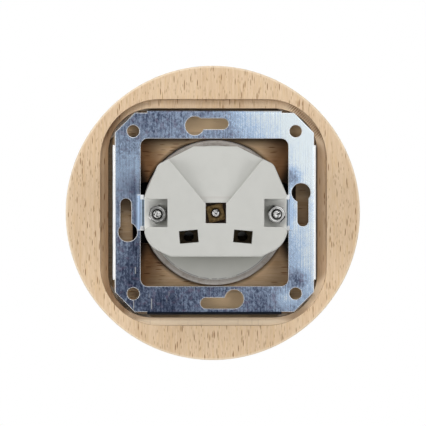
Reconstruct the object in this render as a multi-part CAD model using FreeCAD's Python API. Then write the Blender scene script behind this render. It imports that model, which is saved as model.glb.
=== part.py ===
import FreeCAD, Part

import math
import os

# A round wall socket for earthed two-pin plugs: a porcelain insert on a steel mounting plate, with a
# turned beech surround held between the porcelain rim and the wall.
# Sizes are in millimetres. X is to the right and Z up, seen from the room. Y points into the wall.
# The origin is the middle of the mounting plate, on the plane of the wall (Y = 0).

# What the plug needs. The insert, the plate and the surround are built outwards from its pins.
pin_spacing = 19.0
pin_to_recess_wall = 10.4
plug_recess_depth = 17.5
plug_recess_mouth = 1.4
plug_recess_root = 1.2
pin_hole_diameter = 5.6
pin_hole_chamfer = 0.5

# Beech surround: two layers glued with their grain crossed
surround_margin = 11.6
surround_thickness = 12.0
surround_shift_x = 0.5
surround_shift_z = -0.2
surround_front_rounding = 4.5
surround_edge_break = 0.4
recess_margin = 4.7
recess_corner = 20.5
recess_depth = 2.0
recess_shift_x = 0.3
pocket_corner = 15.0
pocket_side_clearance = 0.8
surround_hole_clearance = 0.6
lug_notch_depth = 2.3
lug_notch_height = 21.0
lug_notch_corner = 4.0

# Mounting plate: one pressed steel sheet
sheet = 1.2
plate_bar_width = 8.75
plate_corner_cut = 6.8
fold_end_gap = 4.2
fold_overhang = 1.0
fold_depth = 5.0
fold_inside_radius = 0.2
opening_clearance = 0.75
opening_corner = 2.5
corner_hole_inset = 2.5
corner_hole_diameter = 4.2
box_screw_inset = 4.75
keyhole_head_diameter = 6.5
keyhole_head_inset = 0.4
keyhole_slot_rise = 0.25
bottom_slot_rise = 1.0
keyhole_slot_width = 3.8
keyhole_length = 14.8
keyhole_offset = 2.6
tongue_width = 12.0
tongue_tip_width = 9.2
tongue_past_screw = 2.55
tongue_inset = 1.3
tongue_root_radius = 1.6
tongue_top_radius = 0.6
tongue_cup_clearance = 0.25

# Porcelain cover: rim, plug recess and floor
cup_wall = 4.6
cover_rim_width = 8.0
cover_rim_thickness = 2.5
cover_rim_edge = 0.9
cover_rim_bevel = 3.2
cup_edge_rounding = 0.8
cover_floor = 4.0
guide_rib_width = 4.8
guide_rib_height = 2.4
guide_rib_setback = 2.0
clip_groove_depth = 1.5
clip_side_clearance = 0.3
cover_boss_diameter = 6.8
cover_boss_height = 2.0

# Steatite base behind the cover
base_disc_setback = 2.0
base_disc_thickness = 5.0
lug_thickness = 8.0
nut_pocket_depth = 7.0
nut_pocket_height = 9.2
nut_pocket_mouth_radius = 1.8
nut_pocket_past_screw = 3.85
base_side_setback = 0.9
base_bottom = -14.4
base_bottom_run = 8.7
base_lower_corner_z = -10.3
base_lower_corner_radius = 8.5
base_side_top = 5.3
base_shoulder_run = 4.6
base_shoulder_drop = 6.0
base_shoulder_radius = 3.0
base_top_setback = 0.5
base_top_half_flat = 7.2
base_edge_rounding = 0.5
base_back_wall = 4.5
channel_near_half_width = 3.7
channel_far_half_width = 15.6
channel_far_z = 17.8
channel_near_depth = 1.0
channel_far_depth = 6.0
wire_window_width = 6.2
wire_window_height = 4.2
wire_window_inset = 0.6
wire_window_z = -7.8
wire_window_tilt = 5.0
tongue_notch_clearance = 0.4
fixing_head_room = 0.35
cavity_clearance = 0.8
cover_nut_pocket_width = 6.75
cover_nut_pocket_depth = 6.8
strap_channel_depth = 3.0
strap_channel_clearance = 0.6
strap_channel_run_out = 2.1

# M3 screws and nuts
screw_diameter = 3.0
screw_hole_diameter = 3.4
thread_clearance = 0.03
screw_end_past_nut = 1.1
screw_end_chamfer = 0.4
nut_width = 5.5
nut_thickness = 2.4
nut_chamfer = 0.35
pan_head_diameter = 5.8
pan_head_height = 2.2
screw_slot_width = 0.9
screw_slot_depth = 1.0
fixing_screw_inset = 4.75
fixing_shift_x = -0.5
fixing_shift_z = -0.45
left_nut_turn = 12.0
right_nut_turn = 40.0
square_nut_width = 5.5
square_nut_thickness = 2.2
square_nut_turn = 14.0
countersunk_head_diameter = 5.8
countersunk_head_height = 1.7
countersink_clearance = 0.1

# Line and neutral contacts: turned and milled brass with a wire terminal
contact_sleeve_diameter = 7.0
contact_bore_diameter = 4.9
contact_front_gap = 0.3
contact_slit_width = 0.8
contact_slit_length = 6.4
terminal_width = 6.4
terminal_bottom = -11.2
terminal_top = -2.6
terminal_length = 8.5
wire_hole_diameter = 3.4
terminal_screw_head_diameter = 4.6
terminal_screw_head_height = 1.9
terminal_screw_head_gap = 0.4
terminal_screw_hole_clearance = 0.6
spring_thickness = 0.6
spring_width = 3.0
spring_front_gap = 1.4
spring_gap_width = 2.6
cavity_top_room = 1.0
cavity_bottom_room = 0.5

# Earth strap with its two clips, and its terminal
strap_width = 6.0
strap_thickness = 1.0
strap_bend_radius = 1.2
clip_root_inset = 2.8
clip_pinch_inset = 3.8
clip_pinch_from_mouth = 8.5
clip_tip_inset = 2.0
clip_tip_from_mouth = 4.3
clip_pinch_radius = 2.0
earth_screw_inset = 5.6
earth_screw_diameter = 3.5
earth_screw_length = 6.0
earth_head_diameter = 6.0
earth_head_height = 2.0
earth_head_room = 0.4
earth_washer_width = 6.8
earth_washer_thickness = 1.0
earth_hole_depth = 6.0
earth_hole_clearance = 0.4

# Planes along Y that follow from those sizes
wall_y = 0.0
surround_front_y = wall_y - surround_thickness
pocket_floor_y = wall_y - fold_depth
cover_front_y = surround_front_y - cover_rim_thickness
recess_floor_y = cover_front_y + plug_recess_depth
cover_back_y = recess_floor_y + cover_floor
lug_front_y = cover_back_y + base_disc_thickness
nut_seat_y = lug_front_y + lug_thickness
base_back_y = nut_seat_y + nut_pocket_depth
cavity_back_y = base_back_y - base_back_wall
strap_seat_y = cover_back_y + strap_channel_depth
strap_front_y = strap_seat_y - strap_thickness
cover_nut_seat_y = base_back_y - cover_nut_pocket_depth

# Radii and half widths, from the pins outwards (the plug's recess comes to 39.8, the surround to 100.6)
pin_x = pin_spacing / 2
recess_radius = pin_x + pin_to_recess_wall
cup_radius = recess_radius + cup_wall
cover_rim_radius = cup_radius + cover_rim_width
opening_half_width = cup_radius + opening_clearance
plate_half_width = opening_half_width + plate_bar_width
plate_side_end = plate_half_width - plate_corner_cut
fold_outside = plate_half_width + fold_overhang
pocket_half_width = fold_outside + pocket_side_clearance
recess_half_width = plate_half_width + recess_margin
surround_radius = recess_half_width + surround_margin
surround_hole_radius = cup_radius + surround_hole_clearance
lug_notch_reach = surround_hole_radius + lug_notch_depth

# Other places that follow from those sizes
fold_length = 2 * (plate_side_end - fold_end_gap)
corner_hole_at = opening_half_width + corner_hole_inset
box_screw_at = opening_half_width + box_screw_inset
fixing_screw_x = cup_radius - fixing_screw_inset
tongue_end = fixing_screw_x - tongue_past_screw
tongue_notch_start = fixing_screw_x + fixing_shift_x - pan_head_diameter / 2 - fixing_head_room
nut_pocket_inner_x = fixing_screw_x - nut_pocket_past_screw
base_disc_radius = cup_radius - base_disc_setback
base_half_width = cup_radius - base_side_setback
base_bottom_half_flat = base_half_width - base_bottom_run
base_shoulder_x = base_half_width - base_shoulder_run
base_top = base_disc_radius - base_top_setback
base_shoulder_z = base_top - base_shoulder_drop
wire_window_x = pin_x - wire_window_inset
cavity_top = contact_sleeve_diameter / 2 + cavity_top_room
cavity_bottom = terminal_bottom - cavity_bottom_room
clip_root_z = recess_radius - clip_root_inset
clip_pinch_z = recess_radius - clip_pinch_inset
clip_tip_z = recess_radius - clip_tip_inset
strap_channel_end = clip_root_z + strap_channel_run_out
earth_screw_z = clip_root_z - earth_screw_inset
screw_radius = screw_diameter / 2
tongue_inside_x = opening_half_width - tongue_inset
tongue_outside_x = tongue_inside_x + sheet
tongue_root_x = tongue_outside_x + tongue_root_radius
fold_bend_start = fold_outside - sheet - fold_inside_radius
cavity_half_width = contact_sleeve_diameter / 2 + cavity_clearance
terminal_screw_y = cavity_back_y - terminal_length / 2
clip_half_slot = strap_width / 2 + clip_side_clearance
earth_washer_front_y = strap_front_y - earth_washer_thickness
past = 1.0


def at(x, y, z):
    return FreeCAD.Vector(x, y, z)


def cylinder(diameter, y_start, y_end, x=0.0, z=0.0):
    """A cylinder along Y."""
    return Part.makeCylinder(diameter / 2, y_end - y_start, at(x, y_start, z), at(0, 1, 0))


def cylinder_up(diameter, z_start, z_end, x, y):
    """A cylinder along Z."""
    return Part.makeCylinder(diameter / 2, z_end - z_start, at(x, y, z_start), at(0, 0, 1))


def block(x_start, x_end, y_start, y_end, z_start, z_end):
    return Part.makeBox(x_end - x_start, y_end - y_start, z_end - z_start, at(x_start, y_start, z_start))


def centred_block(width, y_start, y_end, height, x=0.0, z=0.0):
    return block(x - width / 2, x + width / 2, y_start, y_end, z - height / 2, z + height / 2)


def turned(shape, degrees, x=0.0, z=0.0):
    """The shape turned about an axis along Y through (x, z)."""
    copy = shape.copy()
    copy.rotate(at(x, 0, z), at(0, 1, 0), degrees)
    return copy


def both_sides(shape):
    """The shape and its mirror image across the plane X = 0."""
    return [shape, mirrored(shape)]


def mirrored(shape):
    return shape.mirror(at(0, 0, 0), at(1, 0, 0))


def corner_arc(before, corner, after, radius):
    """Where a tangent arc of this radius leaves the first run, its middle, and where it meets the next."""
    to_before = (before - corner).normalize()
    to_after = (after - corner).normalize()
    half_angle = to_before.getAngle(to_after) / 2
    setback = radius / math.tan(half_angle)
    reach = radius / math.sin(half_angle) - radius
    middle = corner + (to_before + to_after).normalize() * reach
    return corner + to_before * setback, middle, corner + to_after * setback


def rounded_run(points, radii):
    """Edges through the points, with a tangent arc at each point between the ends."""
    edges = []
    start = points[0]
    for index, radius in enumerate(radii, 1):
        if radius > 0:
            enter, middle, leave = corner_arc(points[index - 1], points[index], points[index + 1], radius)
            edges.append(Part.makeLine(start, enter))
            edges.append(Part.Arc(enter, middle, leave).toShape())
            start = leave
        else:
            edges.append(Part.makeLine(start, points[index]))
            start = points[index]
    edges.append(Part.makeLine(start, points[-1]))
    return edges


def closed_face(points, radii):
    """A face whose outline runs through the points, each rounded by its own radius (0 leaves it sharp)."""
    seam = (points[-1] + points[0]) * 0.5
    loop = [seam] + list(points) + [seam]
    return Part.Face(Part.Wire(rounded_run(loop, radii)))


def rounded_square(width, corner, y_start, y_end, x=0.0, z=0.0):
    half = width / 2
    corners = [at(x + sx * half, y_start, z + sz * half) for sx, sz in ((1, 1), (-1, 1), (-1, -1), (1, -1))]
    return closed_face(corners, [corner] * 4).extrude(at(0, y_end - y_start, 0))


def sheet_section(points, inside_radii, thickness, normal):
    """The section of a bent sheet. The points run along one side of it. Its other side lies to their
    left, seen against the normal, and each bend has its inside radius on the inner side of the turn."""
    other = [offset_point(points, index, normal, thickness) for index in range(len(points))]
    near_radii = []
    far_radii = []
    for index, radius in enumerate(inside_radii, 1):
        turn = (points[index] - points[index - 1]).cross(points[index + 1] - points[index])
        turns_left = turn.dot(normal) > 0
        near_radii.append(radius + thickness if turns_left else radius)
        far_radii.append(radius if turns_left else radius + thickness)
    edges = rounded_run(points, near_radii)
    edges.append(Part.makeLine(points[-1], other[-1]))
    edges.extend(rounded_run(other[::-1], far_radii[::-1]))
    edges.append(Part.makeLine(other[0], points[0]))
    return Part.Face(Part.Wire(edges))


def offset_point(points, index, normal, distance):
    """The point moved to the left of the run by the sheet's thickness, mitred at the bends."""
    sides = []
    if index > 0:
        sides.append(normal.cross(points[index] - points[index - 1]).normalize())
    if index < len(points) - 1:
        sides.append(normal.cross(points[index + 1] - points[index]).normalize())
    if len(sides) == 1:
        return points[index] + sides[0] * distance
    between = (sides[0] + sides[1]).normalize()
    return points[index] + between * (distance / between.dot(sides[0]))


def surround_back_ring():
    """The layer against the wall, with vertical grain: a shallow recess and the pocket round the plate."""
    ring = cylinder(2 * surround_radius, pocket_floor_y, wall_y, surround_shift_x, surround_shift_z)
    back_rim = [edge for edge in ring.Edges if abs(edge.BoundBox.YMin - wall_y) < 1e-6]
    ring = ring.makeChamfer(surround_edge_break, back_rim)
    recess = rounded_square(
        2 * recess_half_width, recess_corner, wall_y - recess_depth, wall_y + past, recess_shift_x
    )
    y_range = (pocket_floor_y - past, wall_y + past)
    pocket = rounded_square(2 * pocket_half_width, pocket_corner, *y_range, surround_shift_x, surround_shift_z)
    return ring.cut(recess).cut(pocket)


def surround_front_disc():
    """The layer that the room sees, with horizontal grain, a rounded edge and the hole for the cup,
    which is notched beside the base's lugs."""
    disc = cylinder(2 * surround_radius, surround_front_y, pocket_floor_y, surround_shift_x, surround_shift_z)
    front_rim = [edge for edge in disc.Edges if abs(edge.BoundBox.YMax - surround_front_y) < 1e-6]
    disc = disc.makeFillet(surround_front_rounding, front_rim)
    y_range = (surround_front_y - past, pocket_floor_y + past)
    hole = cylinder(2 * surround_hole_radius, *y_range)
    notch = centred_block(2 * lug_notch_reach, *y_range, lug_notch_height, surround_shift_x, surround_shift_z)
    upright_edges = [edge for edge in notch.Edges if edge.BoundBox.YLength > surround_thickness / 2]
    return disc.cut(hole.fuse(notch.makeFillet(lug_notch_corner, upright_edges)))


def keyhole(slot_rise):
    """The top keyhole: a box screw's head passes the round end, then slides along the slot. The slot
    stands this far outside the circle of the box screws."""
    y_range = (wall_y - sheet - past, wall_y + tongue_root_radius + past)
    head_x = -(keyhole_length / 2 + keyhole_offset - keyhole_head_diameter / 2)
    slot_end_x = keyhole_length / 2 - keyhole_offset - keyhole_slot_width / 2
    slot_z = box_screw_at + slot_rise
    half_slot = keyhole_slot_width / 2
    head = cylinder(keyhole_head_diameter, *y_range, head_x, box_screw_at - keyhole_head_inset)
    slot = block(head_x, slot_end_x, *y_range, slot_z - half_slot, slot_z + half_slot)
    slot_end = cylinder(keyhole_slot_width, *y_range, slot_end_x, slot_z)
    return mirrored(head.fuse([slot, slot_end]))


def edge_fold():
    """The fold along the plate's right edge, which stands on the floor of the surround's pocket."""
    points = [
        at(fold_bend_start - sheet, wall_y - sheet, -fold_length / 2),
        at(fold_outside - sheet, wall_y - sheet, -fold_length / 2),
        at(fold_outside - sheet, wall_y - fold_depth, -fold_length / 2),
    ]
    section = sheet_section(points, [fold_inside_radius], sheet, at(0, 0, 1))
    return section.extrude(at(0, 0, fold_length))


def fixing_places():
    """Where the two fixing screws stand: the right one, then the left one."""
    return [(side * fixing_screw_x + fixing_shift_x, fixing_shift_z) for side in (1, -1)]


def tongue():
    """The right tongue: it rises beside the cup, and its narrower tip turns in under the base's lug."""
    points = [
        at(tongue_root_x + sheet, wall_y, -tongue_width / 2),
        at(tongue_outside_x, wall_y, -tongue_width / 2),
        at(tongue_outside_x, lug_front_y, -tongue_width / 2),
        at(tongue_end, lug_front_y, -tongue_width / 2),
    ]
    section = sheet_section(points, [tongue_root_radius, tongue_top_radius], sheet, at(0, 0, 1))
    strip = section.extrude(at(0, 0, tongue_width))
    shoulder_y = lug_front_y - sheet - tongue_top_radius
    above = block(0, tongue_root_x, shoulder_y, lug_front_y + past, tongue_tip_width / 2, tongue_width)
    return strip.cut([above, above.mirror(at(0, 0, 0), at(0, 0, 1))])


def mounting_plate():
    y_range = (wall_y - sheet, wall_y)
    half = plate_half_width
    corners = [
        at(half, y_range[0], plate_side_end),
        at(plate_side_end, y_range[0], half),
        at(-plate_side_end, y_range[0], half),
        at(-half, y_range[0], plate_side_end),
        at(-half, y_range[0], -plate_side_end),
        at(-plate_side_end, y_range[0], -half),
        at(plate_side_end, y_range[0], -half),
        at(half, y_range[0], -plate_side_end),
    ]
    plate = closed_face(corners, [0.0] * 8).extrude(at(0, sheet, 0))
    cut_range = (wall_y - sheet - past, wall_y + past)
    opening = rounded_square(2 * opening_half_width, opening_corner, *cut_range)
    fold_strip = block(fold_bend_start, half + past, *cut_range, -fold_length / 2, fold_length / 2)
    root_strip = block(0, tongue_root_x, *cut_range, -tongue_width / 2, tongue_width / 2)
    plate = plate.cut([opening] + [turned(fold_strip, 90 * turn) for turn in range(4)])
    plate = plate.cut(both_sides(root_strip))
    folds = [turned(edge_fold(), 90 * turn) for turn in range(4)]
    plate = plate.fuse(folds + both_sides(tongue()))
    slot_rises = [keyhole_slot_rise, keyhole_slot_rise, bottom_slot_rise, keyhole_slot_rise]
    keyholes = [turned(keyhole(rise), 90 * turn) for turn, rise in enumerate(slot_rises)]
    holes = [
        cylinder(corner_hole_diameter, *cut_range, side_x * corner_hole_at, side_z * corner_hole_at)
        for side_x in (-1, 1)
        for side_z in (-1, 1)
    ]
    tip_range = (lug_front_y - sheet - past, lug_front_y + past)
    holes += [cylinder(screw_hole_diameter, *tip_range, x, z) for x, z in fixing_places()]
    return plate.cut(keyholes + holes).removeSplitter()


def front_cover():
    """Rim, cup and floor in one pressed piece of porcelain."""
    bevel_start = cover_rim_radius - cover_rim_bevel
    profile = [
        (0.0, recess_floor_y, 0.0),
        (recess_radius, recess_floor_y, plug_recess_root),
        (recess_radius, cover_front_y, plug_recess_mouth),
        (bevel_start, cover_front_y, cover_rim_bevel),
        (cover_rim_radius, surround_front_y - cover_rim_edge, cover_rim_edge / 2),
        (cover_rim_radius, surround_front_y, 0.0),
        (cup_radius, surround_front_y, 0.0),
        (cup_radius, cover_back_y, cup_edge_rounding),
        (0.0, cover_back_y, 0.0),
    ]
    face = closed_face([at(x, y, 0) for x, y, _ in profile], [radius for _, _, radius in profile])
    cover = face.revolve(at(0, 0, 0), at(0, 1, 0), 360)
    boss = cylinder(cover_boss_diameter, cover_back_y - past, cover_back_y + cover_boss_height)
    rib_front_y = cover_front_y + guide_rib_setback
    rib = block(
        recess_radius - guide_rib_height,
        recess_radius + past,
        rib_front_y,
        recess_floor_y + past,
        -guide_rib_width / 2,
        guide_rib_width / 2,
    )
    cover = cover.fuse([boss] + both_sides(rib))
    pin_hole = cylinder(pin_hole_diameter, recess_floor_y - past, cover_back_y + past, pin_x)
    pin_mouth = Part.makeCone(
        pin_hole_diameter / 2 + pin_hole_chamfer,
        pin_hole_diameter / 2,
        pin_hole_chamfer,
        at(pin_x, recess_floor_y, 0),
        at(0, 1, 0),
    )
    screw_hole = cylinder(screw_hole_diameter, recess_floor_y - past, cover_back_y + cover_boss_height + past)
    countersink = countersunk_cone(countersink_clearance)
    slot_inner_z = clip_pinch_z + clip_side_clearance
    groove_z = recess_radius + clip_groove_depth
    groove = block(
        -clip_half_slot, clip_half_slot, cover_front_y - past, recess_floor_y + past, slot_inner_z, groove_z
    )
    floor_slot = block(
        -clip_half_slot, clip_half_slot, recess_floor_y, cover_back_y + past, slot_inner_z, groove_z
    )
    clip_slot = groove.fuse(floor_slot)
    earth_room = cylinder(
        earth_head_diameter + 2 * earth_head_room,
        earth_washer_front_y - earth_head_height - earth_head_room,
        cover_back_y + past,
        0.0,
        earth_screw_z,
    )
    tongue_flat = block(
        tongue_inside_x - tongue_cup_clearance,
        cup_radius + past,
        wall_y - sheet - tongue_cup_clearance,
        cover_back_y + past,
        -tongue_width / 2 - tongue_notch_clearance,
        tongue_width / 2 + tongue_notch_clearance,
    )
    cuts = both_sides(pin_hole.fuse(pin_mouth)) + both_sides(tongue_flat)
    cuts += [screw_hole, countersink, clip_slot, turned(clip_slot, 180), earth_room]
    return cover.cut(cuts).removeSplitter()


def countersunk_cone(clearance):
    """The cone of the cover screw's head, larger all round by a clearance."""
    head_radius = countersunk_head_diameter / 2 + clearance
    return Part.makeCone(
        head_radius,
        screw_radius + clearance,
        countersunk_head_height,
        at(0, recess_floor_y, 0),
        at(0, 1, 0),
    )


def base_outline():
    """The block's outline seen from behind: flat bottom, straight sides and a roofed top."""
    right = [
        (base_bottom_half_flat, base_bottom, base_edge_rounding),
        (base_half_width, base_lower_corner_z, base_lower_corner_radius),
        (base_half_width, base_side_top, base_edge_rounding),
        (base_shoulder_x, base_shoulder_z, base_shoulder_radius),
        (base_top_half_flat, base_top, base_edge_rounding),
    ]
    left = [(-x, z, radius) for x, z, radius in right[::-1]]
    outline = right + left
    points = [at(x, lug_front_y, z) for x, z, _ in outline]
    return closed_face(points, [radius for _, _, radius in outline])


def cable_channel():
    """The wedge above the cover nut, which widens and deepens towards the top edge."""
    run = channel_far_half_width - channel_near_half_width
    near_z = cover_nut_pocket_width / 2
    rise = channel_far_z - near_z
    end_z = base_top + past
    end_half_width = channel_near_half_width + run * (end_z - near_z) / rise
    end_depth = channel_near_depth + (channel_far_depth - channel_near_depth) * (end_z - near_z) / (
        base_top - near_z
    )
    plan = Part.makePolygon(
        [
            at(-channel_near_half_width, 0, near_z),
            at(channel_near_half_width, 0, near_z),
            at(end_half_width, 0, end_z),
            at(-end_half_width, 0, end_z),
            at(-channel_near_half_width, 0, near_z),
        ]
    )
    prism = Part.Face(plan).extrude(at(0, base_back_y + past, 0))
    side = Part.makePolygon(
        [
            at(-end_half_width, base_back_y + past, near_z),
            at(-end_half_width, base_back_y - channel_near_depth, near_z),
            at(-end_half_width, base_back_y - end_depth, end_z),
            at(-end_half_width, base_back_y + past, end_z),
            at(-end_half_width, base_back_y + past, near_z),
        ]
    )
    wedge = Part.Face(side).extrude(at(2 * end_half_width, 0, 0))
    return prism.common(wedge)


def wire_window():
    """The right window for a wire, its outer end a little lower."""
    window = centred_block(
        wire_window_width,
        cavity_back_y - past,
        base_back_y + past,
        wire_window_height,
        wire_window_x,
        wire_window_z,
    )
    return turned(window, wire_window_tilt, wire_window_x, wire_window_z)


def contact_cavity():
    """The right cavity for a contact, open to the cover, with the hole for its terminal screw."""
    left_x = min(pin_x - cavity_half_width, wire_window_x - terminal_width / 2 - thread_clearance)
    right_x = max(pin_x + cavity_half_width, wire_window_x + terminal_width / 2 + thread_clearance)
    cavity = block(left_x, right_x, cover_back_y - past, cavity_back_y, cavity_bottom, cavity_top)
    hole_diameter = terminal_screw_head_diameter + terminal_screw_hole_clearance
    screw_hole = cylinder_up(
        hole_diameter, base_bottom - past, cavity_bottom + past, wire_window_x, terminal_screw_y
    )
    return cavity.fuse(screw_hole)


def nut_pocket():
    """The right pocket for a hexagon nut. Its mouth is rounded off at the block's side."""
    half = nut_pocket_height / 2
    mouth = half + nut_pocket_mouth_radius
    outline = [
        (nut_pocket_inner_x, -half, 0.0),
        (base_half_width, -half, nut_pocket_mouth_radius),
        (base_half_width, -mouth - past, 0.0),
        (base_half_width + past, -mouth - past, 0.0),
        (base_half_width + past, mouth + past, 0.0),
        (base_half_width, mouth + past, 0.0),
        (base_half_width, half, nut_pocket_mouth_radius),
        (nut_pocket_inner_x, half, 0.0),
    ]
    face = closed_face([at(x, nut_seat_y, z) for x, z, _ in outline], [radius for _, _, radius in outline])
    return face.extrude(at(0, nut_pocket_depth + past, 0))


def rear_base():
    """Disc and block in one pressed piece of steatite."""
    body = base_outline().extrude(at(0, base_back_y - lug_front_y, 0))
    back_rim = [edge for edge in body.Edges if abs(edge.BoundBox.YMin - base_back_y) < 1e-6]
    body = body.makeFillet(base_edge_rounding, back_rim)
    body = body.fuse(cylinder(2 * base_disc_radius, cover_back_y, lug_front_y)).removeSplitter()
    tongue_notch = block(
        tongue_notch_start,
        base_disc_radius + past,
        cover_back_y - past,
        lug_front_y,
        -tongue_width / 2 - tongue_notch_clearance,
        tongue_width / 2 + tongue_notch_clearance,
    )
    fixing_range = (lug_front_y - past, nut_seat_y + past)
    cuts = [cylinder(screw_hole_diameter, *fixing_range, x, z) for x, z in fixing_places()]
    cuts += both_sides(nut_pocket()) + both_sides(tongue_notch)
    cuts += both_sides(wire_window()) + both_sides(contact_cavity())
    strap_channel = block(
        -strap_width / 2 - strap_channel_clearance,
        strap_width / 2 + strap_channel_clearance,
        cover_back_y - past,
        strap_seat_y,
        -strap_channel_end,
        base_disc_radius + past,
    )
    nut_pocket_centre = centred_block(
        cover_nut_pocket_width, cover_nut_seat_y, base_back_y + past, cover_nut_pocket_width
    )
    cuts += [
        strap_channel,
        nut_pocket_centre,
        cylinder(screw_hole_diameter, cover_back_y - past, base_back_y),
        cylinder(
            earth_screw_diameter + earth_hole_clearance,
            strap_seat_y - past,
            strap_seat_y + earth_hole_depth,
            0.0,
            earth_screw_z,
        ),
        cable_channel(),
    ]
    return body.cut(cuts)


def threaded_shank(y_start, y_end, x=0.0, z=0.0):
    """A plain M3 shank along Y with a chamfered end. Its thread is a surface finish."""
    shank = cylinder(screw_diameter, y_start, y_end, x, z)
    end_rim = [edge for edge in shank.Edges if abs(edge.BoundBox.YMin - y_end) < 1e-6]
    return shank.makeChamfer(screw_end_chamfer, end_rim)


def fixing_screw(x, z):
    """The pan-head screw that clamps a tongue to its lug, driven from the room's side."""
    head_back_y = lug_front_y - sheet
    head_front_y = head_back_y - pan_head_height
    head = cylinder(pan_head_diameter, head_front_y, head_back_y, x, z)
    front_rim = [edge for edge in head.Edges if abs(edge.BoundBox.YMax - head_front_y) < 1e-6]
    head = head.makeFillet(pan_head_height / 2, front_rim)
    shank_end = nut_seat_y + nut_thickness + screw_end_past_nut
    slot = centred_block(
        screw_slot_width, head_front_y - past, head_front_y + screw_slot_depth, pan_head_diameter + past, x, z
    )
    return head.fuse(threaded_shank(head_back_y - screw_slot_depth / 2, shank_end, x, z)).cut(slot)


def chamfered_nut(prism, corner_radius, y_start, y_end, x=0.0, z=0.0):
    """A nut's prism with its corners turned off at both faces, and its bore."""
    turned_blank = cylinder(2 * corner_radius, y_start, y_end, x, z)
    turned_blank = turned_blank.makeChamfer(nut_chamfer, turned_blank.Edges[0:1] + turned_blank.Edges[2:3])
    bore = cylinder(screw_diameter + 2 * thread_clearance, y_start - past, y_end + past, x, z)
    return prism.common(turned_blank).cut(bore)


def fixing_nut(x, z, turn):
    corner_radius = nut_width / math.sqrt(3)
    y_end = nut_seat_y + nut_thickness
    corners = [
        at(
            x + corner_radius * math.cos(math.radians(60 * index + turn)),
            nut_seat_y,
            z + corner_radius * math.sin(math.radians(60 * index + turn)),
        )
        for index in range(6)
    ]
    prism = closed_face(corners, [0.0] * 6).extrude(at(0, nut_thickness, 0))
    return chamfered_nut(prism, corner_radius, nut_seat_y, y_end, x, z)


def cover_nut():
    """The square brass nut at the bottom of the middle pocket, turned as far as the pocket lets it."""
    y_end = cover_nut_seat_y + square_nut_thickness
    prism = centred_block(square_nut_width, cover_nut_seat_y, y_end, square_nut_width)
    nut = chamfered_nut(prism, square_nut_width / math.sqrt(2), cover_nut_seat_y, y_end)
    return turned(nut, square_nut_turn)


def cover_screw():
    """The countersunk screw in the middle of the recess, which holds the cover to the base."""
    end_y = cover_nut_seat_y + square_nut_thickness + screw_end_past_nut
    shank_start = recess_floor_y + countersunk_head_height / 2
    screw = countersunk_cone(0.0).fuse(threaded_shank(shank_start, end_y))
    slot = centred_block(
        countersunk_head_diameter + past, recess_floor_y - past, recess_floor_y + screw_slot_depth, screw_slot_width
    )
    return screw.cut(slot)


def pin_contact():
    """The right contact: a slit sleeve for the plug's pin on a block with the wire's hole."""
    front_y = cover_back_y + contact_front_gap
    sleeve = cylinder(contact_sleeve_diameter, front_y, cavity_back_y, pin_x)
    terminal = block(
        wire_window_x - terminal_width / 2,
        wire_window_x + terminal_width / 2,
        cavity_back_y - terminal_length,
        cavity_back_y,
        terminal_bottom,
        terminal_top,
    )
    bore = cylinder(contact_bore_diameter, front_y - past, cavity_back_y + past, pin_x)
    slit = centred_block(
        contact_slit_width, front_y - past, front_y + contact_slit_length, contact_sleeve_diameter + past, pin_x
    )
    wire_hole = cylinder(
        wire_hole_diameter,
        cavity_back_y - terminal_length - past,
        cavity_back_y + past,
        wire_window_x,
        wire_window_z,
    )
    screw_bore = cylinder_up(
        screw_diameter + 2 * thread_clearance,
        terminal_bottom - past,
        wire_window_z,
        wire_window_x,
        terminal_screw_y,
    )
    return sleeve.fuse(terminal).cut([bore, slit, wire_hole, screw_bore]).removeSplitter()


def contact_spring():
    """The right steel ring that keeps the sleeve's halves on the pin, open at the top."""
    front_y = cover_back_y + contact_front_gap + spring_front_gap
    back_y = front_y + spring_width
    outside = cylinder(contact_sleeve_diameter + 2 * spring_thickness, front_y, back_y, pin_x)
    inside = cylinder(contact_sleeve_diameter, front_y - past, back_y + past, pin_x)
    gap = block(
        pin_x - spring_gap_width / 2,
        pin_x + spring_gap_width / 2,
        front_y - past,
        back_y + past,
        0,
        contact_sleeve_diameter,
    )
    return outside.cut([inside, gap])


def terminal_screw():
    """The right screw that clamps a wire, driven from below."""
    head_top = terminal_bottom - terminal_screw_head_gap
    head_bottom = head_top - terminal_screw_head_height
    head = cylinder_up(terminal_screw_head_diameter, head_bottom, head_top, wire_window_x, terminal_screw_y)
    shank = cylinder_up(
        screw_diameter, head_top - screw_slot_depth / 2, wire_window_z, wire_window_x, terminal_screw_y
    )
    slot = block(
        wire_window_x - screw_slot_width / 2,
        wire_window_x + screw_slot_width / 2,
        terminal_screw_y - terminal_screw_head_diameter,
        terminal_screw_y + terminal_screw_head_diameter,
        head_bottom - past,
        head_bottom + screw_slot_depth,
    )
    return head.fuse(shank).cut(slot)


def earth_strap():
    """One strip from clip to clip. It lies in the base's channel and its ends stand in the recess."""
    pinch_y = cover_front_y + clip_pinch_from_mouth
    tip_y = cover_front_y + clip_tip_from_mouth
    side_x = -strap_width / 2
    upper = [
        at(side_x, tip_y, clip_tip_z),
        at(side_x, pinch_y, clip_pinch_z),
        at(side_x, strap_front_y, clip_root_z),
    ]
    lower = [at(side_x, point.y, -point.z) for point in upper[::-1]]
    radii = [clip_pinch_radius, strap_bend_radius, strap_bend_radius, clip_pinch_radius]
    section = sheet_section(upper + lower, radii, strap_thickness, at(1, 0, 0))
    strap = section.extrude(at(strap_width, 0, 0))
    y_range = (strap_front_y - past, strap_seat_y + past)
    screw_hole = cylinder(screw_hole_diameter, *y_range)
    earth_hole = cylinder(earth_screw_diameter + 2 * thread_clearance, *y_range, 0.0, earth_screw_z)
    return strap.cut([screw_hole, earth_hole])


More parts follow.
